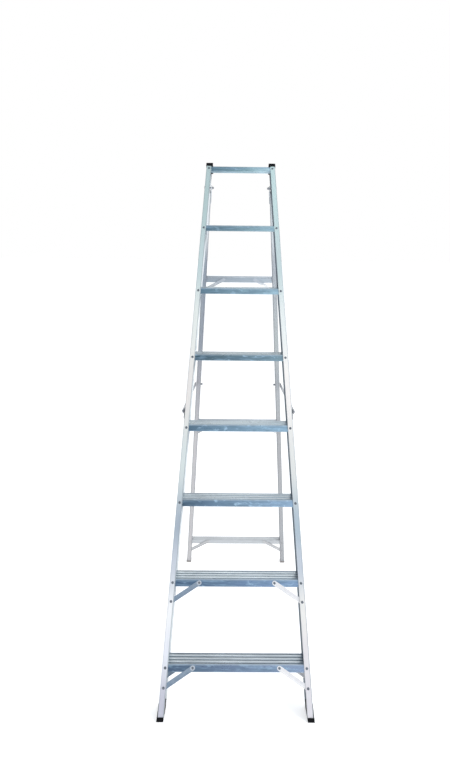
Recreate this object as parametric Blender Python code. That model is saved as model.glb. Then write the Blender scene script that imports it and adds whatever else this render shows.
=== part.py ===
"""Single-sided aluminium A-frame stepladder with seven treads and a top bar.

World frame: metres, +X to the right, +Y from the treads towards the rear legs, +Z up,
feet on z = 0. Three kinds of empty carry the pieces:
  front_frame        on the floor under the front stiles, its Z runs up the stiles
  rear_frame         on the top hinge, its -Z runs down the rear legs
  *_link_*           on the pivots of the two folding spreaders, Y along the link
"""
import math

import bmesh
import bpy
from mathutils import Matrix, Vector

# ---- front frame ----
LEAN = math.radians(20.0)        # front stiles lean back from vertical
STILE_LENGTH = 2.300             # along the stile, from the floor
STILE_HALF = 0.2936              # outer face from the middle, at the floor
STILE_TAPER = 0.0577             # outer face comes in by this much per metre of stile
STILE_DEPTH = 0.090
STILE_FLANGE = 0.0230
RIVET_IN = 0.0125                # rivet line of the flange, in from the outer face
STILE_WALL = 0.0018
GAP = 0.0003                     # between neighbouring pieces
PITCH = 0.300                    # tread spacing along the stile
FIRST_TREAD = 0.179              # rivet line of the lowest tread, along the stile
TREADS = 7
BRACE_THICK = 0.003
SKIRT_SETBACK = STILE_WALL + GAP + BRACE_THICK + GAP

# ---- tread section ----
TREAD_RISE = 0.0108              # top surface above the rivet line
TREAD_DROP = 0.0155              # skirt bottom below the rivet line
TREAD_PLATE = 0.0032
TREAD_NOSE = 0.0035              # radius of the front top edge
TREAD_HEEL = 0.0015              # radius of the rear top edge
TREAD_SKIRT = 0.0020
TREAD_LIP = 0.0070
GROOVES = 4
GROOVE_PITCH = 0.0224
GROOVE_FIRST = 0.0075            # front edge of the tread to the first groove
GROOVE_WIDTH = 0.0062
GROOVE_DEPTH = 0.0016

# ---- top bar and caps ----
TOP_BAR_AT = FIRST_TREAD + TREADS * PITCH
TOP_BAR_HIGH = 0.023
TOP_BAR_DEEP = 0.024
CAP_BELOW = 0.0095
CAP_ABOVE = 0.0050
CAP_OUT = 0.0020
CAP_IN = 0.0290

# ---- front shoes ----
SHOE_SOLE = 0.0070
SHOE_OUT = 0.0035
SHOE_OUT_TOP = 0.0010
SHOE_SIDE = 0.060
SHOE_FRONT = 0.014
SHOE_IN = 0.0228

# ---- diagonal braces ----
BRACE_WIDE = 0.018
BRACE_ACROSS = 0.105
BRACE_DOWN = 0.068
BRACE_RECESS = 0.0009
BRACE_RIM = 0.0045
REAR_BRACE_ACROSS = 0.098
REAR_BRACE_UP = 0.004            # upper rivet above the middle of the bar
REAR_BRACE_DOWN = 0.055
REAR_BRACE_WIDE = 0.016

# ---- rear frame ----
REAR_LEAN = math.radians(17.0)
HINGE_S = 2.205                  # hinge along the stile
HINGE_N = 0.065                  # hinge behind the front face of the stile
LEG_OFFSET = 0.029               # front face of the leg behind the hinge line
LEG_DEPTH = 0.040
LEG_FACE = 0.022
LEG_WALL = 0.0016
LEG_TOP = 0.030
LEG_HALF = 0.1620                # outer face from the middle, level with the hinge
LEG_SPLAY = 0.05109              # outer face goes out by this much per metre of leg
REAR_SOLE = 0.0080
REAR_FOOT_RIM = 0.0012
REAR_PLUG = 0.030
BAR_HIGH = 0.024
BAR_DEEP = 0.030
BAR_WALL = 0.0020
REAR_BARS = {"upper": 1.6022, "middle": 0.8316, "lower": 0.1260}

# ---- hinge ----
BRACKET_THICK = 0.003
BRACKET_ROUND = 0.012
BRACKET_END = 0.085
BRACKET_INSET = 0.003            # from the front and back of the leg
HINGE_SHANK = 0.0040
HINGE_HOLE = HINGE_SHANK + GAP
HINGE_HEAD = 0.0095
HINGE_NUT = 0.0062

# ---- spreaders ----
PIVOT_S = 1.1549
PIVOT_N = 0.055
REAR_PIVOT_Z = 1.0501
LINK_WIDE = 0.022
LINK_THICK = 0.003
INNER_LAYER = 0.0056             # rear link, measured out from the side of the stile
OUTER_LAYER = INNER_LAYER + LINK_THICK + GAP
PLATE_THICK = 0.005
PLATE_DOWN = 0.032               # below the pivot
PLATE_UP = 0.014
BOSS = 0.0065
PIN_SHANK = 0.0035
PIN_HOLE = PIN_SHANK + GAP
PIN_HEAD = 0.0058
REAR_NUT = 0.0050

FRONT_Y = -0.7561                # puts the middle of the outline on y = 0
SIDES = {"left": -1, "right": 1}

SIN, COS = math.sin(LEAN), math.cos(LEAN)
RSIN, RCOS = math.sin(REAR_LEAN), math.cos(REAR_LEAN)


# ---------------------------------------------------------------- helpers
def clear_scene():
    for obj in list(bpy.data.objects):
        bpy.data.objects.remove(obj, do_unlink=True)


def material(name, colour, roughness, metallic):
    mat = bpy.data.materials.new(name)
    mat.use_nodes = True
    shader = mat.node_tree.nodes["Principled BSDF"]
    shader.inputs["Base Color"].default_value = (*colour, 1.0)
    shader.inputs["Roughness"].default_value = roughness
    shader.inputs["Metallic"].default_value = metallic
    mat.diffuse_color = (*colour, 1.0)
    return mat


def empty(name, origin, x_axis=(1, 0, 0), z_axis=(0, 0, 1)):
    """An empty at origin with the given X axis and its Z as near z_axis as it can be."""
    x = Vector(x_axis).normalized()
    y = Vector(z_axis).cross(x).normalized()
    z = x.cross(y)
    turn = Matrix((x, y, z)).transposed()
    obj = bpy.data.objects.new(name, None)
    obj.empty_display_size = 0.05
    obj.location = origin
    obj.rotation_euler = turn.to_euler()
    bpy.context.collection.objects.link(obj)
    return obj


def add(name, shape, mat, parent):
    """Makes the shape an object under the parent empty, with its faces pointing out."""
    bmesh.ops.recalc_face_normals(shape, faces=shape.faces)
    mesh = bpy.data.meshes.new(name)
    shape.to_mesh(mesh)
    shape.free()
    mesh.materials.append(mat)
    obj = bpy.data.objects.new(name, mesh)
    obj.parent = parent
    bpy.context.collection.objects.link(obj)
    return obj


def loft(name, rings, mat, parent):
    """Extrudes the first ring of points to each of the others in turn, as a closed body."""
    shape = bmesh.new()
    end = shape.faces.new([shape.verts.new(point) for point in rings[0]])
    for count, ring in enumerate(rings[1:]):
        grown = bmesh.ops.extrude_face_region(shape, geom=[end])
        if count:
            shape.faces.remove(end)
        end = next(item for item in grown["geom"] if isinstance(item, bmesh.types.BMFace))
        for vert, point in zip(end.verts, ring):
            vert.co = point
    return add(name, shape, mat, parent)


def lathe(name, steps, mat, parent, at=(0, 0), sides=28):
    """Spins (distance along X, radius) steps about an X axis through y, z = at."""
    shape = bmesh.new()
    outline = [(steps[0][0], 0.0)] + list(steps) + [(steps[-1][0], 0.0)]
    verts = [shape.verts.new((along, at[0] + radius, at[1])) for along, radius in outline]
    edges = [shape.edges.new(pair) for pair in zip(verts, verts[1:])]
    bmesh.ops.spin(shape, geom=verts + edges, cent=(0, at[0], at[1]), axis=(1, 0, 0), angle=2 * math.pi,
                   steps=sides, use_duplicate=False)
    bmesh.ops.remove_doubles(shape, verts=shape.verts, dist=0.00001)
    obj = add(name, shape, mat, parent)
    obj.data.shade_smooth()
    obj.data.set_sharp_from_angle(angle=math.radians(35))
    return obj


def drill(name, radius, reach, mat, parent, at=(0, 0), along=0.0):
    """A round cutter along X, to be given to boolean."""
    cutter = lathe(name, [(-reach, radius), (reach, radius)], mat, parent, at)
    cutter.location.x = along
    return cutter


def boolean(obj, other, operation="DIFFERENCE"):
    """Cuts the other object out of this one, or joins it on, and keeps the other as a tool."""
    mod = obj.modifiers.new(operation.title() + "_" + other.name, "BOOLEAN")
    mod.operation = operation
    mod.solver = "EXACT"
    mod.object = other
    other.hide_render = True
    other.display_type = "WIRE"


def outward(sign, steps):
    """The steps of a turned piece, mirrored for the left side."""
    return [(sign * along, radius) for along, radius in steps]


def rounded(points, radius, segments=3):
    """The polygon with every corner turned into an arc of the given radius."""
    out = []
    total = len(points)
    for i in range(total):
        corner = Vector(points[i])
        before = (Vector(points[i - 1]) - corner).normalized()
        after = (Vector(points[(i + 1) % total]) - corner).normalized()
        size = radius[i] if isinstance(radius, (list, tuple)) else radius
        if size <= 0:
            out.append(tuple(corner))
            continue
        half = before.angle(after) / 2
        reach = size / math.tan(half)
        centre = corner + (before + after).normalized() * (size / math.sin(half))
        start = corner + before * reach - centre
        end = corner + after * reach - centre
        sweep = start.angle_signed(end)
        for step in range(segments + 1):
            turn = -sweep * step / segments
            x = start.x * math.cos(turn) - start.y * math.sin(turn)
            y = start.x * math.sin(turn) + start.y * math.cos(turn)
            out.append((centre.x + x, centre.y + y))
    return out


def capsule(length, width, segments=8):
    """Outline of a flat bar with round ends, from (0, 0) to (length, 0)."""
    out = []
    radius = width / 2
    for centre, first in ((length, -90), (0, 90)):
        for step in range(segments + 1):
            turn = math.radians(first + 180 * step / segments)
            out.append((centre + radius * math.cos(turn), radius * math.sin(turn)))
    return out


def c_section(face, depth, wall, grow=0.0):
    """C outline, open towards +x, as (distance in from the outer side, distance back)."""
    inner = wall + grow
    outline = [
        (-grow, -grow),
        (face + grow, -grow),
        (face + grow, inner),
        (inner, inner),
        (inner, depth - inner),
        (face + grow, depth - inner),
        (face + grow, depth + grow),
        (-grow, depth + grow),
    ]
    if grow:
        return outline
    soft, fine = 0.0022, 0.0005
    return rounded(outline, [soft, fine, fine, fine, fine, fine, fine, soft])


# ---------------------------------------------------------------- front frame
def stile_half(s):
    return STILE_HALF - STILE_TAPER * s


def floor_s(n, height=0.0):
    """How far up the stile a level plane at this height meets a point n back."""
    return (height + n * SIN) / COS


def level(dy, dz):
    """A level step back and up, as (back, up the stile)."""
    return dy * COS - dz * SIN, dy * SIN + dz * COS


def build_stile(side, sign, mat, frame, pin):
    """A channel open towards the middle, its foot end level with the floor."""
    section = c_section(STILE_FLANGE, STILE_DEPTH, STILE_WALL)
    rings = []
    for top in (False, True):
        ring = []
        for inward, back in section:
            s = STILE_LENGTH if top else floor_s(back, SHOE_SOLE)
            ring.append((sign * (stile_half(s) - inward), back, s))
        rings.append(ring)
    stile = loft("front_stile_" + side, rings, mat, frame)
    boolean(stile, drill("cut_hinge_hole_" + side, HINGE_HOLE, 0.020, mat, frame, (HINGE_N, HINGE_S),
                         sign * stile_half(HINGE_S)))
    boolean(stile, drill("cut_pivot_hole_" + side, PIN_HOLE, 0.008, mat, pin))


def tread_profile():
    """Outline of a tread as (back, up the stile), measured from its rivet line."""
    rear = STILE_DEPTH - SKIRT_SETBACK
    front_top = (SKIRT_SETBACK + TREAD_RISE * SIN) / COS
    rear_top = (rear + TREAD_RISE * SIN) / COS
    front_low = (SKIRT_SETBACK - TREAD_DROP * SIN) / COS
    rear_low = (rear - TREAD_DROP * SIN) / COS
    skirt = TREAD_SKIRT / COS
    under = TREAD_RISE - TREAD_PLATE
    shear = SIN / COS
    low = -TREAD_DROP
    lip = low + TREAD_SKIRT
    points = [(front_low, low), (front_top, TREAD_RISE)]
    radii = [0.0005, TREAD_NOSE]
    for index in range(GROOVES):
        start = front_top + GROOVE_FIRST + index * GROOVE_PITCH - GROOVE_WIDTH / 2
        end = start + GROOVE_WIDTH
        bottom = TREAD_RISE - GROOVE_DEPTH
        points += [(start, TREAD_RISE), (start + 0.0004, bottom), (end - 0.0004, bottom), (end, TREAD_RISE)]
        radii += [0.0, 0.0, 0.0, 0.0]
    points += [
        (rear_top, TREAD_RISE),
        (rear_low, low),
        (rear_low - TREAD_LIP, low),
        (rear_low - TREAD_LIP, lip),
        (rear_low - skirt + TREAD_SKIRT * shear, lip),
        (rear_low - skirt + (under - low) * shear, under),
        (front_low + skirt + (under - low) * shear, under),
        (front_low + skirt + TREAD_SKIRT * shear, lip),
        (front_low + TREAD_LIP, lip),
        (front_low + TREAD_LIP, low),
    ]
    radii += [TREAD_HEEL] + [0.0] * 9
    return [level(dy, dz) for dy, dz in rounded(points, radii, 3)]


def build_span(name, profile, s, mat, frame):
    """A piece that runs across between the stiles, its ends following their taper."""
    rings = []
    for sign in (-1, 1):
        reach = [stile_half(s + up) - STILE_WALL - GAP for back, up in profile]
        rings.append([(sign * r, back, s + up) for r, (back, up) in zip(reach, profile)])
    return loft(name, rings, mat, frame)


def build_top_bar(mat, frame):
    front, back = SKIRT_SETBACK, SKIRT_SETBACK + TOP_BAR_DEEP
    half, wall = TOP_BAR_HIGH / 2, 0.002
    outline = rounded([
        (front, -half), (front, half), (back, half), (back, half - wall),
        (front + wall, half - wall), (front + wall, wall - half), (back, wall - half), (back, -half),
    ], [0.0015, 0.0015, 0, 0, 0, 0, 0, 0], 2)
    return build_span("top_bar", outline, TOP_BAR_AT, mat, frame)


def corners(across, back):
    """The four corners of a block, in order round it."""
    return ((across[0], back[0]), (across[1], back[0]), (across[1], back[1]), (across[0], back[1]))


def stile_box(name, sign, across, back, up, mat, frame, low_height=None, taper=0.0):
    """A block that follows the stile: across is (in, out) from its outer face."""
    rings = []
    for top in (False, True):
        ring = []
        for reach, n in corners(across, back):
            s = up[1] if top else up[0]
            if not top and low_height is not None:
                s = floor_s(n, low_height)
            edge = reach - (taper if top and reach > 0 else 0.0)
            ring.append((sign * (stile_half(s) + edge), n, s))
        rings.append(ring)
    return loft(name, rings, mat, frame)


def stile_pocket(name, sign, up, mat, frame, low_height=None):
    """The space the stile fills, grown by the gap, for cutting into shoes and caps."""
    rings = []
    for top in (False, True):
        ring = []
        for inward, back in c_section(STILE_FLANGE, STILE_DEPTH, STILE_WALL, GAP):
            s = up[1] if top else up[0]
            if not top and low_height is not None:
                s = floor_s(back, low_height)
            ring.append((sign * (stile_half(s) - inward), back, s))
        rings.append(ring)
    return loft(name, rings, mat, frame)


def build_shoe(side, sign, mat, frame):
    """A boot round the foot of the stile, low in front and behind and high at the side."""
    rim = 0.003
    across, back = (-SHOE_IN, SHOE_OUT), (-rim, STILE_DEPTH + rim)
    shoe = stile_box("front_foot_" + side, sign, across, back, (0, SHOE_SIDE), mat, frame, 0.0,
                     SHOE_OUT - SHOE_OUT_TOP)
    boolean(shoe, stile_pocket("cut_shoe_pocket_" + side, sign, (0, 0.2), mat, frame, SHOE_SOLE - GAP))
    clear = STILE_WALL + GAP
    front_face, back_face = (-0.02, clear), (STILE_DEPTH - clear, STILE_DEPTH + 0.02)
    rear_low = SHOE_FRONT + STILE_DEPTH * SIN / COS
    for end, back, low in (("front", front_face, SHOE_FRONT), ("back", back_face, rear_low)):
        name = "cut_shoe_" + end + "_" + side
        boolean(shoe, stile_box(name, sign, (-0.05, 0.02), back, (low, 0.2), mat, frame))


def build_cap(side, sign, mat, frame):
    """A cap over the end of the stile, with an underside that the stile's own shape is sunk into."""
    back = (-CAP_OUT, STILE_DEPTH + CAP_OUT)
    up = (STILE_LENGTH - CAP_BELOW, STILE_LENGTH + CAP_ABOVE)
    cap = stile_box("top_cap_" + side, sign, (-CAP_IN, CAP_OUT), back, up, mat, frame)
    socket = (STILE_LENGTH - 0.05, STILE_LENGTH + GAP)
    boolean(cap, stile_pocket("cut_cap_pocket_" + side, sign, socket, mat, frame))


def brace_rings(start, end, width, near, far, recess):
    """Flat bar with round ends between two (x, up) points, its near face pressed in by the recess."""
    along = Vector((end[0] - start[0], end[1] - start[1]))
    length = along.length
    along.normalize()
    across = Vector((-along.y, along.x))
    rings = []
    channel = width - 2 * BRACE_RIM
    layers = [(near + recess, channel), (near, channel + 0.001), (near, width), (far, width)]
    for depth, wide in layers:
        ring = []
        for x, y in capsule(length, wide):
            flat = Vector(start) + along * x + across * y
            ring.append((flat.x, depth, flat.y))
        rings.append(ring)
    return rings


def build_tread_braces(mat, frame):
    """Diagonals from the lowest two treads down to the front flanges, and one pair behind."""
    for label, step, rear in (("lowest", 0, False), ("second", 1, False), ("rear", 0, True)):
        s = FIRST_TREAD + step * PITCH
        for side, sign in SIDES.items():
            if rear:
                near = STILE_DEPTH - STILE_WALL - GAP
                far, recess = near - BRACE_THICK, -BRACE_RECESS
                shift = STILE_DEPTH * SIN * COS
            else:
                near = STILE_WALL + GAP
                far, recess = near + BRACE_THICK, BRACE_RECESS
                shift = 0.0
            top, low = s + shift, s + shift - BRACE_DOWN
            inner = (sign * (stile_half(top) - RIVET_IN - BRACE_ACROSS), top)
            outer = (sign * (stile_half(low) - RIVET_IN), low)
            rings = brace_rings(inner, outer, BRACE_WIDE, near, far, recess)
            loft("tread_brace_" + label + "_" + side, rings, mat, frame)


# ---------------------------------------------------------------- rear frame
def leg_half(r):
    return LEG_HALF + LEG_SPLAY * r


def leg_floor(y, height=0.0):
    """How far down the leg a level plane at this height meets a point y back."""
    return (HINGE.z - height + y * RSIN) / RCOS


def build_leg(side, sign, mat, frame, pin):
    """A channel open towards the middle, its foot end level with the floor."""
    section = c_section(LEG_FACE, LEG_DEPTH, LEG_WALL)
    rings = []
    for top in (False, True):
        ring = []
        for inward, back in section:
            y = LEG_OFFSET + back
            r = LEG_TOP if top else leg_floor(y, REAR_SOLE)
            ring.append((sign * (leg_half(r) - inward), y, -r))
        rings.append(ring)
    leg = loft("rear_leg_" + side, rings, mat, frame)
    boolean(leg, drill("cut_leg_hole_" + side, PIN_HOLE, 0.020, mat, pin))


def leg_box(name, sign, across, back, down, mat, frame, low_height=None):
    """A block that follows the leg: across is (in, out) from its outer face."""
    rings = []
    for top in (False, True):
        ring = []
        for reach, y in corners(across, back):
            r = down[0] if top else down[1]
            if not top and low_height is not None:
                r = leg_floor(y, low_height)
            ring.append((sign * (leg_half(r) + reach), y, -r))
        rings.append(ring)
    return loft(name, rings, mat, frame)


def build_rear_foot(side, sign, mat, frame):
    """A sole under the leg with a plug that stands up inside its channel."""
    rim = REAR_FOOT_RIM
    front, back = LEG_OFFSET - rim, LEG_OFFSET + LEG_DEPTH + rim
    rings = []
    for height in (0.0, REAR_SOLE - GAP):
        ring = []
        for reach, y in corners((-LEG_FACE - rim, rim), (front, back)):
            r = leg_floor(y, height)
            ring.append((sign * (leg_half(r) + reach), y, -r))
        rings.append(ring)
    foot = loft("rear_foot_" + side, rings, mat, frame)
    clear = LEG_WALL + GAP
    low = leg_floor(LEG_OFFSET, REAR_SOLE)
    inside = (LEG_OFFSET + clear, LEG_OFFSET + LEG_DEPTH - clear)
    plug = leg_box("join_rear_plug_" + side, sign, (-LEG_FACE, -clear), inside, (low - REAR_PLUG, low), mat,
                   frame, REAR_SOLE / 2)
    boolean(foot, plug, "UNION")


def build_rear_bar(label, height, mat, frame):
    """A channel across the rear legs, open to the rear, with its two diagonals."""
    setback = LEG_OFFSET + LEG_WALL + GAP + BRACE_THICK + GAP
    r = leg_floor(setback, height)
    half = BAR_HIGH / 2
    back = setback + BAR_DEEP
    outline = rounded([
        (setback, -half), (setback, half), (back, half), (back, half - BAR_WALL),
        (setback + BAR_WALL, half - BAR_WALL), (setback + BAR_WALL, BAR_WALL - half),
        (back, BAR_WALL - half), (back, -half),
    ], [0.0015, 0.0015, 0, 0, 0, 0, 0, 0], 2)
    rings = []
    for sign in (-1, 1):
        ring = []
        for y, up in outline:
            reach = leg_half(r - up) - LEG_WALL - GAP
            ring.append((sign * reach, y, up - r))
        rings.append(ring)
    loft("rear_bar_" + label, rings, mat, frame)
    near = LEG_OFFSET + LEG_WALL + GAP
    for side, sign in SIDES.items():
        low = r + REAR_BRACE_DOWN
        high = r - REAR_BRACE_UP
        inner = (sign * (leg_half(high) - LEG_FACE / 2 - REAR_BRACE_ACROSS), -high)
        outer = (sign * (leg_half(low) - LEG_FACE / 2), -low)
        rings = brace_rings(inner, outer, REAR_BRACE_WIDE, near, near + BRACE_THICK, BRACE_RECESS)
        loft("rear_brace_" + label + "_" + side, rings, mat, frame)


def build_hinge_bracket(side, sign, mat, frame):
    """Plate on the inner side of the leg, its round top end on the hinge line."""
    outline = []
    for step in range(15):
        turn = math.radians(-20 + 230 * step / 14)
        outline.append((BRACKET_ROUND * math.cos(turn), BRACKET_ROUND * math.sin(turn)))
    front, back = LEG_OFFSET + BRACKET_INSET, LEG_OFFSET + LEG_DEPTH - BRACKET_INSET
    outline += [(front, 0.035 - BRACKET_END), (front, -BRACKET_END)]
    outline += [(back, -BRACKET_END), (back, 0.045 - BRACKET_END)]
    rings = []
    for inward in (LEG_FACE + GAP, LEG_FACE + GAP + BRACKET_THICK):
        rings.append([(sign * (leg_half(-z) - inward), y, z) for y, z in outline])
    plate = loft("hinge_bracket_" + side, rings, mat, frame)
    middle = sign * (leg_half(0) - LEG_FACE)
    boolean(plate, drill("cut_bracket_hole_" + side, HINGE_HOLE, 0.020, mat, frame, along=middle))


def build_hinge_bolt(side, sign, mat, frame):
    """Bolt through the stile and the bracket, and the nut on its inner end."""
    at = (HINGE_N, HINGE_S)
    outer = stile_half(HINGE_S) + 0.0009
    inner = leg_half(0) - LEG_FACE - GAP - BRACKET_THICK
    near, tail = inner - 0.0008, inner - 0.0100
    steps = [(tail, HINGE_SHANK - 0.0006), (tail + 0.0006, HINGE_SHANK), (outer, HINGE_SHANK),
             (outer, HINGE_HEAD), (outer + 0.0030, HINGE_HEAD), (outer + 0.0042, HINGE_HEAD - 0.0015)]
    lathe("hinge_bolt_" + side, outward(sign, steps), mat, frame, at)
    steps = [(near, HINGE_NUT), (near - 0.0065, HINGE_NUT)]
    nut = lathe("hinge_nut_" + side, outward(sign, steps), mat, frame, at, sides=6)
    boolean(nut, drill("cut_nut_hole_" + side, HINGE_HOLE, 0.020, mat, frame, at, sign * near))


# ---------------------------------------------------------------- spreaders
def pin_head(near):
    """Last steps of a pin: the end of its shank, then a domed head that starts at near."""
    rim, crown = near + 0.0026, near + 0.0038
    return [(near, PIN_SHANK), (near, PIN_HEAD), (rim, PIN_HEAD), (crown, PIN_HEAD - 0.0020)]


def plate_rings(outline, inner, outer, sign):
    return [[(sign * depth, y, z) for y, z in outline] for depth in (inner, outer)]


def build_pivot_plate(side, sign, mat, frame):
    """Plate on the side of the stile with a boss that carries the spreader."""
    half = 0.014
    outline = rounded([(-half, -PLATE_DOWN), (half, -PLATE_DOWN), (half, PLATE_UP), (-half, PLATE_UP)],
                      [0.004, 0.004, 0.010, 0.010], 4)
    rings = plate_rings(outline, GAP, GAP + PLATE_THICK, sign)
    plate = loft("spreader_bracket_" + side, rings, mat, frame)
    steps = [(GAP + 0.001, BOSS), (OUTER_LAYER - GAP, BOSS)]
    boolean(plate, lathe("join_boss_" + side, outward(sign, steps), mat, frame), "UNION")
    boolean(plate, drill("cut_plate_hole_" + side, PIN_HOLE, 0.020, mat, frame))


def build_pivot_bolt(side, sign, mat, frame):
    """Pin from inside the stile, through the plate and the front link."""
    inner = -STILE_WALL - GAP
    outer = OUTER_LAYER + LINK_THICK + GAP
    steps = [(inner - 0.0030, 0.0045), (inner - 0.0018, 0.0060), (inner, 0.0060), (inner, PIN_SHANK)]
    lathe("spreader_front_bolt_" + side, outward(sign, steps + pin_head(outer)), mat, frame)


def build_link(name, length, layer, sign, mat, frame):
    """A flat bar with round ends and a hole in each, its layer out from the stile."""
    outline = capsule(length, LINK_WIDE, 10)
    link = loft(name, plate_rings(outline, layer, layer + LINK_THICK, sign), mat, frame)
    for label, y in (("near", 0.0), ("far", length)):
        boolean(link, drill("cut_" + name + "_" + label, PIN_HOLE, 0.030, mat, frame, (y, 0)))


def build_knuckle(side, sign, length, mat, frame):
    """Pin through both links where the spreader folds."""
    inner = INNER_LAYER - GAP
    outer = OUTER_LAYER + LINK_THICK + GAP
    steps = [(inner - 0.0014, 0.0050), (inner, 0.0060), (inner, PIN_SHANK), (outer, PIN_SHANK),
             (outer, 0.0070), (outer + 0.0016, 0.0070), (outer + 0.0026, 0.0050)]
    lathe("spreader_knuckle_pin_" + side, outward(sign, steps), mat, frame, (length, 0))


def build_rear_pivot(side, sign, length, mat, link_frame, rear_pin):
    """Rear pin in two pieces: the head stays on the link, the tail and nut on the leg."""
    outer = INNER_LAYER + LINK_THICK + GAP
    steps = [(INNER_LAYER, PIN_SHANK)] + pin_head(outer)
    lathe("spreader_rear_bolt_" + side, outward(sign, steps), mat, link_frame, (length, 0))
    near = -LEG_FACE - 0.0020
    tip = near - 0.0080
    steps = [(INNER_LAYER - 0.0053, PIN_SHANK), (near, PIN_SHANK), (near, REAR_NUT), (tip, REAR_NUT)]
    lathe("spreader_rear_nut_" + side, outward(sign, steps), mat, rear_pin)


# ---------------------------------------------------------------- assembly
def stile_point(sign, s, n):
    """World position of a point on the outer face of the stile."""
    return Vector((sign * stile_half(s), FRONT_Y + s * SIN + n * COS, s * COS - n * SIN))


HINGE = Vector((0, FRONT_Y + HINGE_S * SIN + HINGE_N * COS, HINGE_S * COS - HINGE_N * SIN))


def build():
    clear_scene()
    stile_mat = material("anodised_stile", (0.62, 0.68, 0.68), 0.34, 1.0)
    tread_mat = material("anodised_tread", (0.42, 0.55, 0.64), 0.32, 1.0)
    rear_mat = material("anodised_rear", (0.58, 0.58, 0.64), 0.38, 1.0)
    brace_mat = material("anodised_brace", (0.60, 0.64, 0.70), 0.36, 1.0)
    black = material("black_plastic", (0.020, 0.021, 0.024), 0.50, 0.0)
    foot_mat = material("grey_rubber", (0.21, 0.18, 0.17), 0.70, 0.0)
    steel = material("zinc_steel", (0.36, 0.36, 0.39), 0.42, 1.0)
    dark_steel = material("dark_steel", (0.10, 0.10, 0.12), 0.48, 1.0)

    front = empty("front_frame", (0, FRONT_Y, 0), z_axis=(0, SIN, COS))
    rear = empty("rear_frame", HINGE, z_axis=(0, -RSIN, RCOS))

    profile = tread_profile()
    for index in range(TREADS):
        build_span("tread_" + str(index + 1), profile, FIRST_TREAD + index * PITCH, tread_mat, front)
    build_top_bar(tread_mat, front)
    build_tread_braces(brace_mat, front)
    for label, height in REAR_BARS.items():
        build_rear_bar(label, height, rear_mat, rear)

    for side, sign in SIDES.items():
        pivot = stile_point(sign, PIVOT_S, PIVOT_N)
        normal = Vector((1, sign * STILE_TAPER * SIN, sign * STILE_TAPER * COS)).normalized()
        along_stile = Vector((-sign * STILE_TAPER, SIN, COS)).normalized()
        centre = LEG_OFFSET + LEG_DEPTH / 2
        r = leg_floor(centre, REAR_PIVOT_Z)
        leg_side = Vector((sign * leg_half(r), HINGE.y + r * RSIN + centre * RCOS, REAR_PIVOT_Z))
        span = leg_side - pivot
        span -= normal * span.dot(normal)
        reach = span.length / 2
        up = normal.cross(span)

        plate_frame = empty("spreader_plate_frame_" + side, pivot, normal, along_stile)
        front_link = empty("front_link_" + side, pivot, normal, up)
        rear_link = empty("rear_link_" + side, pivot + span / 2, normal, up)
        rear_pin = empty("rear_pin_" + side, leg_side)

        build_stile(side, sign, stile_mat, front, plate_frame)
        build_cap(side, sign, black, front)
        build_shoe(side, sign, black, front)
        build_leg(side, sign, rear_mat, rear, rear_pin)
        build_rear_foot(side, sign, foot_mat, rear)
        build_hinge_bracket(side, sign, dark_steel, rear)
        build_hinge_bolt(side, sign, steel, front)
        build_pivot_plate(side, sign, dark_steel, plate_frame)
        build_pivot_bolt(side, sign, steel, plate_frame)
        build_link("spreader_front_link_" + side, reach, OUTER_LAYER, sign, steel, front_link)
        build_link("spreader_rear_link_" + side, reach, INNER_LAYER, sign, steel, rear_link)
        build_knuckle(side, sign, reach, steel, front_link)
        build_rear_pivot(side, sign, reach, steel, rear_link, rear_pin)


build()
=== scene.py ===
import math
import bmesh
import bpy
from mathutils import Matrix, Vector


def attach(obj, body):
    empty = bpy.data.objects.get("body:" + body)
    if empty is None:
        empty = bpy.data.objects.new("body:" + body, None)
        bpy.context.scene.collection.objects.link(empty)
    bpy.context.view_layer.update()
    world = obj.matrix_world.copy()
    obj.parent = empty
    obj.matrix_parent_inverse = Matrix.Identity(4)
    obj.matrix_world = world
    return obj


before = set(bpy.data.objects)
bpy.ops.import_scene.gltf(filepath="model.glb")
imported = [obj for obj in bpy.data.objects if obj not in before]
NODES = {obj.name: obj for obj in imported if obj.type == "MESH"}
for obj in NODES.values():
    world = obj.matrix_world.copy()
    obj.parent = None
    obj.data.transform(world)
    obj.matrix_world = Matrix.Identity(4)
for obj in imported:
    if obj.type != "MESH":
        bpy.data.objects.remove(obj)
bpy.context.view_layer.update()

# ------------------------------------------------------------------ sizes, as in the CAD model
LEAN = math.radians(20.0)
REAR_LEAN = math.radians(17.0)
FRONT_Y = -0.7561
STILE_HALF, STILE_TAPER = 0.2936, 0.0577
STILE_DEPTH, STILE_FLANGE, RIVET_IN, STILE_WALL = 0.090, 0.0230, 0.0125, 0.0018
FIRST_TREAD, PITCH, TREADS = 0.179, 0.300, 7
TREAD_RISE, GROOVE_FIRST, GROOVE_PITCH, GROOVE_WIDTH = 0.0108, 0.0075, 0.0224, 0.0062
BRACE_ACROSS, BRACE_DOWN, BRACE_THICK, BRACE_RECESS, GAP = 0.105, 0.068, 0.003, 0.0009, 0.0003
SKIRT_SETBACK = STILE_WALL + 2 * GAP + BRACE_THICK
HINGE_S, HINGE_N = 2.205, 0.065
LEG_HALF, LEG_SPLAY, LEG_OFFSET, LEG_FACE, LEG_WALL = 0.1620, 0.05109, 0.029, 0.022, 0.0016
REAR_BARS = (1.6022, 0.8316, 0.1260)
REAR_BRACE_ACROSS, REAR_BRACE_UP, REAR_BRACE_DOWN = 0.098, 0.004, 0.055
SIDES = {"left": -1, "right": 1}
LEVELS = TREADS + 1                 # the treads and the top bar
FRONT_TOP, REAR_TOP = 2.2, 2.1      # heights at which the colour ramps of the two frames end
FLOOR_HALF = 60.0
ROUND_SIDES = 20                    # facets round a rivet head

# Noise scales for fine drawn lines and for cloudy patches, with the grain along Z or along X.
DRAWN = {"Z": (420, 420, 2.2), "X": (2.2, 420, 420)}
CLOUDY = {"Z": (30, 30, 7), "X": (9, 38, 38)}

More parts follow.
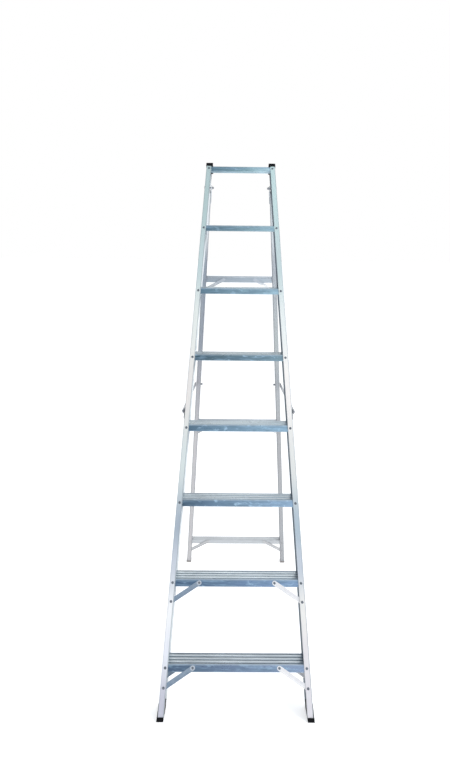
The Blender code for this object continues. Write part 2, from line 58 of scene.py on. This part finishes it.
SIN, COS, TAN = math.sin(LEAN), math.cos(LEAN), math.tan(LEAN)
REAR_SIN, REAR_COS = math.sin(REAR_LEAN), math.cos(REAR_LEAN)
FRONT = Matrix.Translation((0, FRONT_Y, 0)) @ Matrix.Rotation(-LEAN, 4, "X")
HINGE = FRONT @ Vector((0, HINGE_N, HINGE_S))
REAR = Matrix.Translation(HINGE) @ Matrix.Rotation(REAR_LEAN, 4, "X")


def stile_half(s):
    """Half the width of the front frame, at a distance s up the stiles."""
    return STILE_HALF - STILE_TAPER * s


def leg_half(r):
    """Half the width of the rear frame, at a distance r down the legs."""
    return LEG_HALF + LEG_SPLAY * r


# ------------------------------------------------------------------ camera, light and floor
def make_camera():
    """A camera a little above eye level in front of the treads."""
    cam = bpy.data.cameras.new("camera")
    cam.sensor_width = 36.0
    cam.lens = 37.75
    cam.shift_x = -0.0274
    cam.shift_y = -0.1838
    cam.clip_start, cam.clip_end = 0.05, 200.0
    obj = bpy.data.objects.new("camera", cam)
    turn = Matrix.Rotation(math.radians(-0.7267), 4, "Z") @ Matrix.Rotation(math.radians(89.8974), 4, "X")
    turn = turn @ Matrix.Rotation(math.radians(0.653), 4, "Z")
    obj.matrix_world = Matrix.Translation((-0.0202, -3.7332, 1.8107)) @ turn
    bpy.context.scene.collection.objects.link(obj)
    bpy.context.scene.camera = obj


def make_light(name, place, target, size, power, colour):
    """A soft box at one place, turned to another."""
    data = bpy.data.lights.new(name, "AREA")
    data.shape = "RECTANGLE"
    data.size, data.size_y = size
    data.energy = power
    data.color = colour
    obj = bpy.data.objects.new(name, data)
    obj.location = place
    obj.rotation_euler = (Vector(target) - Vector(place)).to_track_quat("-Z", "Y").to_euler()
    bpy.context.scene.collection.objects.link(obj)


class Graph:
    """A short way to write a node tree: each method adds a node and returns its output socket."""

    def __init__(self, tree):
        self.tree = tree

    def node(self, kind, **settings):
        made = self.tree.nodes.new("ShaderNode" + kind)
        for key, value in settings.items():
            setattr(made, key, value)
        return made

    def put(self, socket, value):
        if isinstance(value, bpy.types.NodeSocket):
            self.tree.links.new(value, socket)
        elif socket.type == "RGBA" and len(value) == 3:
            socket.default_value = (*value, 1.0)
        else:
            socket.default_value = value

    def math(self, operation, *values, clamp=False):
        made = self.node("Math", operation=operation, use_clamp=clamp)
        for socket, value in zip(made.inputs, values):
            self.put(socket, value)
        return made.outputs[0]

    def dot(self, vector, axis):
        made = self.node("VectorMath", operation="DOT_PRODUCT")
        self.put(made.inputs[0], vector)
        made.inputs[1].default_value = axis
        return made.outputs["Value"]

    def ease(self, value, low, high, out_low=0.0, out_high=1.0, smooth=True):
        made = self.node("MapRange", interpolation_type="SMOOTHSTEP" if smooth else "LINEAR")
        for socket, setting in zip(made.inputs, (value, low, high, out_low, out_high)):
            self.put(socket, setting)
        return made.outputs["Result"]

    def noise(self, vector, scale, detail=3.0, rough=0.5, distort=0.0, turn=0.0):
        mapping = self.node("Mapping")
        mapping.inputs["Rotation"].default_value = (turn, 0, 0)
        self.put(mapping.inputs["Vector"], vector)
        stretch = self.node("Mapping")
        stretch.inputs["Scale"].default_value = scale
        self.put(stretch.inputs["Vector"], mapping.outputs[0])
        made = self.node("TexNoise")
        made.inputs["Scale"].default_value = 1.0
        made.inputs["Detail"].default_value = detail
        made.inputs["Roughness"].default_value = rough
        made.inputs["Distortion"].default_value = distort
        self.put(made.inputs["Vector"], stretch.outputs[0])
        return made.outputs["Fac"]

    def mix(self, factor, a, b, blend="MIX"):
        made = self.node("Mix", data_type="RGBA", blend_type=blend)
        self.put(made.inputs["Factor"], factor)
        self.put(made.inputs["A"], a)
        self.put(made.inputs["B"], b)
        return made.outputs["Result"]

    def bands(self, value, stops):
        """A colour ramp with (position, colour) stops."""
        made = self.node("ValToRGB")
        ramp = made.color_ramp
        ramp.interpolation = "EASE"
        while len(ramp.elements) < len(stops):
            ramp.elements.new(0.5)
        for element, (place, colour) in zip(ramp.elements, stops):
            element.position = place
            element.color = (*colour, 1.0)
        self.put(made.inputs[0], value)
        return made.outputs["Color"]


def make_world():
    """White behind the ladder, and a lighting that grows from the left to the right."""
    world = bpy.data.worlds.new("studio")
    bpy.context.scene.world = world
    world.use_nodes = True
    tree = world.node_tree
    tree.nodes.clear()
    g = Graph(tree)
    out = g.node("OutputWorld")
    direction = g.node("TexCoord").outputs["Generated"]
    facing = g.ease(g.dot(direction, (0, 1, 0)), -1.0, 0.7)
    colour = g.mix(facing, (0.74, 0.80, 0.86), (0.74, 0.75, 0.76))
    side = g.ease(g.dot(direction, (0.93, -0.05, 0.36)), -0.9, 0.75, 0.34, 1.20)
    seen = g.node("Background")
    seen.inputs["Color"].default_value = (1, 1, 1, 1)
    seen.inputs["Strength"].default_value = 1.0
    lit = g.node("Background")
    g.put(lit.inputs["Color"], colour)
    g.put(lit.inputs["Strength"], side)
    mix = g.node("MixShader")
    g.put(mix.inputs[0], g.node("LightPath").outputs["Is Camera Ray"])
    g.put(mix.inputs[1], lit.outputs[0])
    g.put(mix.inputs[2], seen.outputs[0])
    g.put(out.inputs["Surface"], mix.outputs[0])


def make_floor():
    """A sheet of pale paper just under the feet."""
    mesh = bpy.data.meshes.new("floor")
    corners = [(-FLOOR_HALF, -FLOOR_HALF, 0), (FLOOR_HALF, -FLOOR_HALF, 0), (FLOOR_HALF, FLOOR_HALF, 0),
               (-FLOOR_HALF, FLOOR_HALF, 0)]
    mesh.from_pydata(corners, [], [(0, 1, 2, 3)])
    floor = bpy.data.objects.new("floor", mesh)
    floor.location.z = -0.0005
    mat = bpy.data.materials.new("floor_paper")
    mat.use_nodes = True
    shader = mat.node_tree.nodes["Principled BSDF"]
    shader.inputs["Base Color"].default_value = (0.80, 0.80, 0.80, 1)
    shader.inputs["Roughness"].default_value = 0.9
    shader.inputs["Specular IOR Level"].default_value = 0.0
    shader.inputs["Emission Color"].default_value = (1, 1, 1, 1)
    shader.inputs["Emission Strength"].default_value = 0.56
    mesh.materials.append(mat)
    bpy.context.scene.collection.objects.link(floor)


# ------------------------------------------------------------------ materials
def soften(g, shader, bevel, height, strength, depth):
    """Rounds the edges in the shading and puts a bump of the given height over them."""
    round_off = g.node("Bevel", samples=4)
    round_off.inputs["Radius"].default_value = bevel
    bump = g.node("Bump")
    bump.inputs["Strength"].default_value = strength
    bump.inputs["Distance"].default_value = depth
    g.put(bump.inputs["Height"], height)
    g.put(bump.inputs["Normal"], round_off.outputs["Normal"])
    g.put(shader.inputs["Normal"], bump.outputs["Normal"])


def finish(g, shader, colour, fine, cloud, roughness):
    """Links the colour, a cloudy roughness, and fine lines over softened edges."""
    g.put(shader.inputs["Base Color"], colour)
    rough = g.ease(cloud, 0.3, 0.7, max(roughness - 0.06, 0.05), roughness + 0.10, smooth=False)
    g.put(shader.inputs["Roughness"], rough)
    soften(g, shader, 0.0006, fine, 0.12, 0.0004)


def start(name, metallic):
    """A new material with its graph, its shader, and places in metres of the model's own frame."""
    mat = bpy.data.materials.new(name)
    mat.use_nodes = True
    shader = mat.node_tree.nodes["Principled BSDF"]
    shader.inputs["Metallic"].default_value = metallic
    g = Graph(mat.node_tree)
    return mat, g, shader, g.node("TexCoord").outputs["Object"]


def metal(name, colour, dark, roughness, along, metallic, mottle=0.5):
    """Plated steel: fine lines along the piece and cloudy patches."""
    mat, g, shader, place = start(name, metallic)
    fine = g.noise(place, DRAWN[along])
    cloud = g.noise(place, CLOUDY[along], 5.0, 0.62, 0.4)
    base = g.mix(g.ease(cloud, 0.36, 0.66, 0.0, mottle), colour, dark)
    base = g.mix(0.10, base, fine, "SOFT_LIGHT")
    finish(g, shader, base, fine, cloud, roughness)
    return mat


def along_stile(g, place):
    """Distance up the stile, as a socket."""
    return g.math("SUBTRACT", g.dot(place, (0, SIN, COS)), FRONT_Y * SIN)


def stile_metal():
    """Anodised stiles: lighter and darker stretches up their height, set apart for the two stiles; painted
    shade on the right edge of each flange, on the right stile's channel, side and rounded corners, and
    painted light in the left stile's channel.
    """
    mat, g, shader, place = start("stile_aluminium", 0.55)
    fine = g.noise(place, DRAWN["Z"], turn=LEAN)
    cloud = g.noise(place, (34, 34, 6), 5.0, 0.62, 0.4, turn=LEAN)
    height = g.math("DIVIDE", g.dot(place, (0, 0, 1)), FRONT_TOP)
    # Lighter and darker bands up the height, with a different ramp for the left and the right stile.
    left = g.bands(height, [
        (0.03, (0.60, 0.59, 0.67)), (0.10, (0.88, 0.88, 0.94)), (0.16, (0.98, 0.97, 0.97)),
        (0.235, (0.63, 0.66, 0.73)), (0.29, (0.40, 0.46, 0.54)), (0.40, (0.74, 0.79, 0.77)),
        (0.53, (0.88, 0.82, 0.78)), (0.66, (0.87, 0.89, 0.84)), (0.77, (0.58, 0.69, 0.69)),
        (0.92, (0.46, 0.59, 0.58)),
    ])
    right = g.bands(height, [
        (0.03, (0.77, 0.73, 0.76)), (0.10, (0.80, 0.76, 0.77)), (0.16, (0.90, 0.86, 0.81)),
        (0.235, (0.55, 0.59, 0.66)), (0.29, (0.43, 0.52, 0.59)), (0.40, (0.78, 0.77, 0.74)),
        (0.53, (0.96, 0.90, 0.86)), (0.66, (0.83, 0.86, 0.84)), (0.77, (0.56, 0.67, 0.67)),
        (0.92, (0.56, 0.72, 0.71)),
    ])
    across = g.dot(place, (1, 0, 0))
    is_right = g.math("GREATER_THAN", across, 0.0)
    narrowing = g.math("MULTIPLY", along_stile(g, place), STILE_TAPER)
    inward = g.math("SUBTRACT", STILE_HALF, g.math("ADD", g.math("ABSOLUTE", across), narrowing))
    half = STILE_FLANGE / 2
    rightward = g.math("MULTIPLY", g.math("SUBTRACT", half, inward), g.math("SIGN", across))
    # Painted shade along the right edge of each flange, where light from the left leaves it dark, and a
    # faint painted dark line along the left edge.
    painted_flange_shade = g.ease(rightward, half - 0.0045, half - 0.0010, 0.0, 0.80)
    edge = g.math("ADD", painted_flange_shade, g.ease(rightward, 0.0010 - half, 0.0035 - half, 0.25, 0.0))
    face = g.mix(edge, g.mix(is_right, left, right), (0.24, 0.28, 0.31))

    normal = g.node("NewGeometry").outputs["Normal"]
    front = g.ease(g.dot(normal, (0, -COS, SIN)), 0.6, 0.9)
    back = g.math("SUBTRACT", g.dot(place, (0, COS, -SIN)), FRONT_Y * COS)
    inside = g.ease(back, 0.004, 0.012)
    # Painted light and shade inside the channels: the left stile's hollow painted lit by light from the
    # right, the right stile's painted in shade.
    hollow = g.mix(is_right, (0.90, 0.92, 0.93), (0.34, 0.38, 0.42))
    # Outer side faces: the right stile's painted darker to tone down the bright lamp on that side, and the
    # rounded corners painted in shade to draw dark outlines.
    flat_side = g.ease(g.math("ABSOLUTE", g.dot(normal, (1, 0, 0))), 0.965, 0.985)
    painted_corner_shade = g.mix(is_right, (0.52, 0.56, 0.59), (0.20, 0.235, 0.26))
    painted_side_shade = g.mix(flat_side, painted_corner_shade, g.mix(is_right, (0.62, 0.66, 0.69), (0.47, 0.50, 0.525)))
    side = g.mix(g.math("GREATER_THAN", inward, 0.0014), painted_side_shade, hollow)
    base = g.mix(front, side, g.mix(inside, face, hollow))
    base = g.mix(g.ease(cloud, 0.36, 0.66, 0.0, 0.24), base, (0.56, 0.61, 0.64))
    base = g.mix(0.10, base, fine, "SOFT_LIGHT")
    finish(g, shader, base, fine, cloud, 0.42)
    return mat


def tread_metal():
    """Treads: dull blue skirts, blotched, painted dark towards the left and light towards the right as if
    lit from the right, with painted sheen; paler tops with painted shade in the grooves and a painted
    reflection at the right end.
    """
    mat, g, shader, place = start("tread_aluminium", 0.85)
    fine = g.noise(place, DRAWN["X"])
    cloud = g.noise(place, (11, 60, 60), 5.0, 0.65, 0.6)
    patches = g.noise(place, (34, 75, 75), 2.0, 0.5, 0.4)
    normal = g.node("NewGeometry").outputs["Normal"]
    up = along_stile(g, place)
    half_width = g.math("SUBTRACT", STILE_HALF, g.math("MULTIPLY", up, STILE_TAPER))
    across = g.math("DIVIDE", g.dot(place, (1, 0, 0)), half_width)
    step = g.math("DIVIDE", g.math("SUBTRACT", up, FIRST_TREAD), PITCH)
    index = g.math("ROUND", step)
    local = g.math("MULTIPLY", g.math("SUBTRACT", step, index), PITCH)

    # Painted light and shade across each skirt: dark on the left and lighter on the right, as if lit from
    # the right.
    skirt = g.mix(g.ease(across, -1.0, 1.0, smooth=False), (0.108, 0.175, 0.24), (0.50, 0.65, 0.78))
    part = g.math("DIVIDE", index, float(LEVELS))
    shade = g.bands(part, [
        (0.0, (0.72, 0.69, 0.81)), (0.125, (0.66, 0.71, 0.88)), (0.25, (0.87, 0.93, 1.02)),
        (0.375, (0.89, 1.0, 1.04)), (0.5, (0.56, 0.62, 0.58)), (0.625, (0.94, 1.04, 0.99)),
        (0.75, (0.91, 1.0, 0.90)), (0.875, (0.84, 0.97, 0.86)),
    ])
    skirt = g.mix(1.0, skirt, shade, "MULTIPLY")
    # More painted shade at the left end of the third tread, and painted light on the right of the top bar.
    third_tread = g.math("COMPARE", index, 2.0, 0.5)
    painted_left_shade_end = g.math("MULTIPLY", third_tread, g.ease(across, -0.95, -0.35, 0.55, 0.0))
    skirt = g.mix(painted_left_shade_end, skirt, (0.05, 0.075, 0.10))
    top_bar = g.math("GREATER_THAN", index, TREADS - 0.5)
    painted_right_light_end = g.math("MULTIPLY", top_bar, g.ease(across, 0.1, 0.8, 0.0, 0.55))
    skirt = g.mix(painted_right_light_end, skirt, (0.72, 0.92, 1.0))
    # Light streaks along the skirts: painted sheen.
    sheen_streaks = g.noise(place, (14, 160, 160), 4.0, 0.6, 0.5)
    blotched = g.ease(g.math("ABSOLUTE", g.math("SUBTRACT", index, 2.6)), 0.5, 2.6, 0.75, 0.30)
    skirt = g.mix(g.ease(cloud, 0.35, 0.68, 0.0, 0.60), skirt, (0.14, 0.22, 0.30))
    skirt = g.mix(g.ease(sheen_streaks, 0.50, 0.66, 0.0, 0.50), skirt, (0.36, 0.52, 0.68))
    skirt = g.mix(g.math("MULTIPLY", g.ease(patches, 0.56, 0.72), blotched), skirt, (0.52, 0.72, 0.88))
    # A paler band along the lower edge of each skirt, and a painted highlight along the rounded nose at its
    # top.
    skirt = g.mix(g.ease(local, -0.016, -0.010, 0.30, 0.0), skirt, (0.62, 0.70, 0.80))
    skirt = g.mix(g.ease(local, 0.006, 0.0105, 0.0, 0.35), skirt, (0.62, 0.70, 0.76))

    level = g.math("SUBTRACT", g.dot(place, (0, 1, -TAN)), FRONT_Y)
    first = (SKIRT_SETBACK + TREAD_RISE * SIN) / COS - TREAD_RISE * TAN + GROOVE_FIRST
    row = g.math("DIVIDE", g.math("SUBTRACT", level, first), GROOVE_PITCH)
    off = g.math("ABSOLUTE", g.math("SUBTRACT", row, g.math("ROUND", row)))
    half = GROOVE_WIDTH / 2 / GROOVE_PITCH
    painted_groove_shade = g.ease(off, half, half * 1.4, 1.0, 0.0)
    top = g.mix(g.ease(cloud, 0.35, 0.68, 0.0, 0.5), (0.46, 0.50, 0.53), (0.35, 0.39, 0.42))
    # Painted reflection of the right stile's dark inner face, darkening the right end of each tread top.
    top = g.mix(g.ease(across, 0.70, 0.97, 0.0, 0.45), top, (0.20, 0.23, 0.26))
    tint = g.bands(part, [
        (0.0, (0.94, 0.97, 0.99)), (0.125, (1.14, 1.18, 1.18)), (0.25, (1.06, 1.10, 1.10)),
        (0.375, (1.13, 1.18, 1.16)), (0.5, (0.88, 0.93, 0.93)),
    ])
    top = g.mix(1.0, top, tint, "MULTIPLY")
    # Painted shade in the grooves, near black.
    top = g.mix(painted_groove_shade, top, (0.008, 0.010, 0.013))
    facing = g.ease(g.dot(normal, (0, 0, 1)), 0.55, 0.92)
    base = g.mix(facing, skirt, top)
    base = g.mix(0.10, base, fine, "SOFT_LIGHT")
    finish(g, shader, base, fine, cloud, 0.30)
    return mat


def brace_metal():
    """Front braces: the left ones painted in shade and the right ones painted lit, as if lit from the right,
    each with a painted highlight in the pressed cup round its rivet.
    """
    mat, g, shader, place = start("brace_aluminium", 0.6)
    fine = g.noise(place, (380, 60, 380), turn=LEAN)
    cloud = g.noise(place, (28, 60, 60), 5.0, 0.62, 0.4)
    across = g.dot(place, (1, 0, 0))
    up = along_stile(g, place)
    step = g.math("DIVIDE", g.math("SUBTRACT", up, FIRST_TREAD), PITCH)
    local = g.math("MULTIPLY", g.math("SUBTRACT", step, g.math("ROUND", step)), PITCH)
    inward = g.math("ADD", g.math("ABSOLUTE", across), g.math("MULTIPLY", up, STILE_TAPER))
    cup = STILE_HALF - RIVET_IN - BRACE_ACROSS
    away = g.math("SQRT", g.math("ADD", g.math("POWER", g.math("SUBTRACT", inward, cup), 2.0),
                                 g.math("POWER", local, 2.0)))
    # Painted light and shade: dark on the left braces and near white on the right ones.
    base = g.mix(g.ease(across, -0.12, 0.12, smooth=False), (0.25, 0.32, 0.41), (0.90, 0.87, 0.87))
    base = g.mix(g.ease(cloud, 0.40, 0.70, 0.0, 0.25), base, (0.50, 0.55, 0.61))
    # Painted highlight in the pressed cup round each rivet.
    base = g.mix(g.ease(away, 0.005, 0.013, 0.6, 0.0), base, (0.80, 0.82, 0.86))
    finish(g, shader, base, fine, cloud, 0.36)
    return mat


def rear_metal(name, along, stops, edges=0.0):
    """Rear frame: stops of (height, colour on the left, colour on the right), where the left and right
    colours paint light from the right, mostly lighter on the right, and painted shade along the leg edges.
    """
    mat, g, shader, place = start(name, 0.6)
    fine = g.noise(place, DRAWN[along], turn=-REAR_LEAN)
    cloud = g.noise(place, CLOUDY[along], 5.0, 0.62, 0.4, turn=-REAR_LEAN)
    across = g.dot(place, (1, 0, 0))
    to_right = g.ease(across, -0.18, 0.18, smooth=False)
    height = g.math("DIVIDE", g.dot(place, (0, 0, 1)), REAR_TOP)
    left = g.bands(height, [(z / REAR_TOP, colour) for z, colour, other in stops])
    right = g.bands(height, [(z / REAR_TOP, other) for z, colour, other in stops])
    base = g.mix(to_right, left, right)
    base = g.mix(g.ease(cloud, 0.36, 0.66, 0.0, 0.28), base, (0.42, 0.44, 0.47))
    # Painted shade along both edges of each leg's front face, drawing dark outlines.
    if edges:
        axis = Vector((0, REAR_SIN, -REAR_COS))
        down = g.dot(place, axis)
        top = LEG_HALF - LEG_FACE / 2 - LEG_SPLAY * HINGE.dot(axis)
        middle = g.math("ADD", g.math("MULTIPLY", down, LEG_SPLAY), top)
        off = g.math("ABSOLUTE", g.math("SUBTRACT", g.math("ABSOLUTE", across), middle))
        edge = g.ease(off, LEG_FACE / 2 - 0.0050, LEG_FACE / 2 - 0.0010, 0.0, edges)
        base = g.mix(edge, base, (0.20, 0.21, 0.23))
    base = g.mix(0.10, base, fine, "SOFT_LIGHT")
    finish(g, shader, base, fine, cloud, 0.42)
    return mat


def moulded(name, colour, worn, roughness):
    """Moulded plastic or rubber with a fine grain and slightly rubbed patches."""
    mat, g, shader, place = start(name, 0.0)
    shader.inputs["Specular IOR Level"].default_value = 0.10
    cloud = g.noise(place, (55, 55, 55), 6.0)
    g.put(shader.inputs["Base Color"], g.mix(cloud, colour, worn))
    g.put(shader.inputs["Roughness"], g.ease(cloud, 0.2, 0.8, roughness - 0.1, roughness + 0.12))
    pores = g.node("TexVoronoi")
    pores.inputs["Scale"].default_value = 900.0
    g.put(pores.inputs["Vector"], place)
    soften(g, shader, 0.0008, pores.outputs["Distance"], 0.25, 0.0003)
    return mat


def paint(mat, *names):
    """Puts one material on the named CAD nodes."""
    for name in names:
        obj = NODES[name]
        obj.data.materials.clear()
        obj.data.materials.append(mat)


def both(*stems):
    """The left and right node name of each stem."""
    return [stem + "_" + side for stem in stems for side in SIDES]


# ------------------------------------------------------------------ pieces
def lathe(bm, steps, place):
    """Adds a turned shape: (height, radius) steps about Z, placed by a matrix."""
    rings = []
    for height, radius in steps:
        ring = []
        for i in range(ROUND_SIDES):
            turn = 2 * math.pi * i / ROUND_SIDES
            point = Vector((radius * math.cos(turn), radius * math.sin(turn), height))
            ring.append(bm.verts.new(place @ point))
        rings.append(ring)
    for low, high in zip(rings, rings[1:]):
        for i in range(ROUND_SIDES):
            after = (i + 1) % ROUND_SIDES
            bm.faces.new((low[i], low[after], high[after], high[i]))
    bm.faces.new(list(reversed(rings[0])))
    bm.faces.new(rings[-1])


# Heads as (height, radius): one with a hollow in the middle where its stem broke off, and a plain dome.
RIVET = [(0.0, 0.0052), (0.0007, 0.0052), (0.0014, 0.0044), (0.0019, 0.0030), (0.0020, 0.0022),
         (0.0014, 0.0018), (0.0012, 0.0012)]
DOME = [(0.0, 0.0048), (0.0006, 0.0047), (0.0011, 0.0040), (0.0015, 0.0027), (0.0017, 0.0010)]


def rivets(name, places, body, mat, steps=RIVET):
    """One object holding a row of blind rivets, each placed by (point, outward direction)."""
    bm = bmesh.new()
    for point, out in places:
        place = Matrix.Translation(point) @ Vector(out).to_track_quat("Z", "Y").to_matrix().to_4x4()
        lathe(bm, steps, place)
    bmesh.ops.recalc_face_normals(bm, faces=bm.faces)
    mesh = bpy.data.meshes.new(name)
    bm.to_mesh(mesh)
    bm.free()
    mesh.shade_smooth()
    mesh.set_sharp_from_angle(angle=math.radians(40))
    mesh.materials.append(mat)
    obj = bpy.data.objects.new(name, mesh)
    bpy.context.scene.collection.objects.link(obj)
    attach(obj, body)


def build_front_rivets(side, sign, mat):
    """The rivets of the treads, top bar and front braces on one side of the front frame."""
    turn = FRONT.to_3x3()
    forward, back = turn @ Vector((0, -1, 0)), turn @ Vector((0, 1, 0))
    levels = [FIRST_TREAD + i * PITCH for i in range(LEVELS)]
    braced = levels[:2]

    def on_flange(s, depth=0.0, across=0.0):
        return FRONT @ Vector((sign * (stile_half(s) - RIVET_IN - across), depth, s))

    front = [(on_flange(s), forward) for s in levels + [s - BRACE_DOWN for s in braced]]
    rivets("stile_rivets_front_" + side, front, "front_frame", mat)
    behind = [(on_flange(s + STILE_DEPTH * SIN * COS, STILE_DEPTH), back) for s in levels[:-1]]
    rivets("stile_rivets_back_" + side, behind, "front_frame", mat)
    cup = STILE_WALL + GAP + BRACE_RECESS
    cups = [(on_flange(s, cup, BRACE_ACROSS), forward) for s in braced]
    rivets("brace_rivets_" + side, cups, "front_frame", mat)


def build_rear_rivets(side, sign, leg_mat, brace_mat):
    """The rivets of the cross bars and their braces on one side of the rear frame."""
    forward = REAR.to_3x3() @ Vector((0, -1, 0))
    cup = LEG_OFFSET + LEG_WALL + GAP + BRACE_RECESS
    bar_face = LEG_OFFSET + LEG_WALL + 2 * GAP + BRACE_THICK

    def on_leg(r, depth, across=0.0):
        return REAR @ Vector((sign * (leg_half(r) - LEG_FACE / 2 - across), depth, -r)), forward

    cups, legs = [], []
    for height in REAR_BARS:
        r = (HINGE.z - height + bar_face * REAR_SIN) / REAR_COS
        cups.append(on_leg(r - REAR_BRACE_UP, cup, REAR_BRACE_ACROSS))
        legs += [on_leg(r, LEG_OFFSET), on_leg(r + REAR_BRACE_DOWN, LEG_OFFSET)]
    rivets("rear_brace_rivets_" + side, cups, "rear_frame", brace_mat, DOME)
    rivets("rear_leg_rivets_" + side, legs, "rear_frame", leg_mat, DOME)


# ------------------------------------------------------------------ build
make_camera()
make_world()
make_floor()
make_light("key", (3.8, -2.8, 3.4), (0, 0, 1.0), (2.4, 2.4), 110, (1.0, 0.99, 0.97))
make_light("fill", (-3.8, -3.6, 1.6), (0, 0, 1.0), (2.2, 2.8), 14, (0.90, 0.95, 1.0))
make_light("back", (0.6, 3.8, 3.4), (0, 0, 1.0), (3.0, 2.0), 25, (1.0, 1.0, 1.0))
bpy.context.scene.view_settings.view_transform = "Standard"

# Rear frame colours by height; the split between left and right mostly paints light from the right side.
leg = rear_metal("leg_aluminium", "Z", [
    (0.75, (0.50, 0.49, 0.50), (0.375, 0.38, 0.395)), (1.05, (0.38, 0.38, 0.41), (0.40, 0.42, 0.44)),
    (1.30, (0.27, 0.30, 0.35), (0.44, 0.47, 0.48)), (1.68, (0.28, 0.32, 0.38), (0.42, 0.45, 0.49)),
    (1.82, (0.74, 0.76, 0.79), (0.68, 0.72, 0.75)),
], edges=0.55)
bar = rear_metal("bar_aluminium", "X", [
    (0.20, (0.52, 0.54, 0.56), (0.50, 0.52, 0.54)), (1.30, (0.285, 0.34, 0.40), (0.48, 0.55, 0.62)),
])
# The right rear braces below the top bar are painted near white, as if lit from the right.
rear_brace = rear_metal("rear_brace_aluminium", "X", [
    (0.20, (0.50, 0.50, 0.51), (0.52, 0.52, 0.53)), (1.30, (0.46, 0.48, 0.51), (0.96, 0.95, 0.95)),
    (1.580, (0.46, 0.48, 0.51), (0.96, 0.95, 0.95)), (1.592, (0.46, 0.50, 0.56), (0.54, 0.59, 0.66)),
])
steel = metal("zinc_plate", (0.42, 0.43, 0.46), (0.28, 0.29, 0.32), 0.34, "X", 1.0)
hanger = metal("hanger_plate", (0.66, 0.70, 0.74), (0.50, 0.54, 0.58), 0.42, "Z", 0.6)
bracket = metal("dark_plate", (0.12, 0.125, 0.14), (0.05, 0.055, 0.06), 0.42, "X", 0.9)
# Dark rivet heads: partly the metal's own colour, partly painted shade round and in the heads.
rivet = metal("rivet_metal", (0.20, 0.22, 0.25), (0.10, 0.11, 0.13), 0.34, "X", 1.0, mottle=0.6)
plastic = moulded("black_moulding", (0.004, 0.004, 0.005), (0.010, 0.010, 0.012), 0.50)
rubber = moulded("grey_rubber_moulding", (0.22, 0.20, 0.19), (0.34, 0.31, 0.30), 0.72)

paint(stile_metal(), *both("front_stile"))
paint(tread_metal(), "top_bar", *["tread_" + str(i + 1) for i in range(TREADS)])
paint(leg, *both("rear_leg"))
paint(bar, "rear_bar_upper", "rear_bar_middle", "rear_bar_lower")
paint(rear_brace, *both("rear_brace_upper", "rear_brace_middle", "rear_brace_lower"))
paint(brace_metal(), *both("tread_brace_lowest", "tread_brace_second", "tread_brace_rear"))
paint(plastic, *both("top_cap", "front_foot"))
paint(rubber, *both("rear_foot"))
paint(steel, *both("hinge_bolt", "hinge_nut", "spreader_front_link", "spreader_rear_link",
                   "spreader_front_bolt", "spreader_rear_bolt", "spreader_rear_nut",
                   "spreader_knuckle_pin"))
paint(hanger, *both("hinge_bracket"))
paint(bracket, *both("spreader_bracket"))
for side_name, side_sign in SIDES.items():
    build_front_rivets(side_name, side_sign, rivet)
    build_rear_rivets(side_name, side_sign, leg, rear_brace)
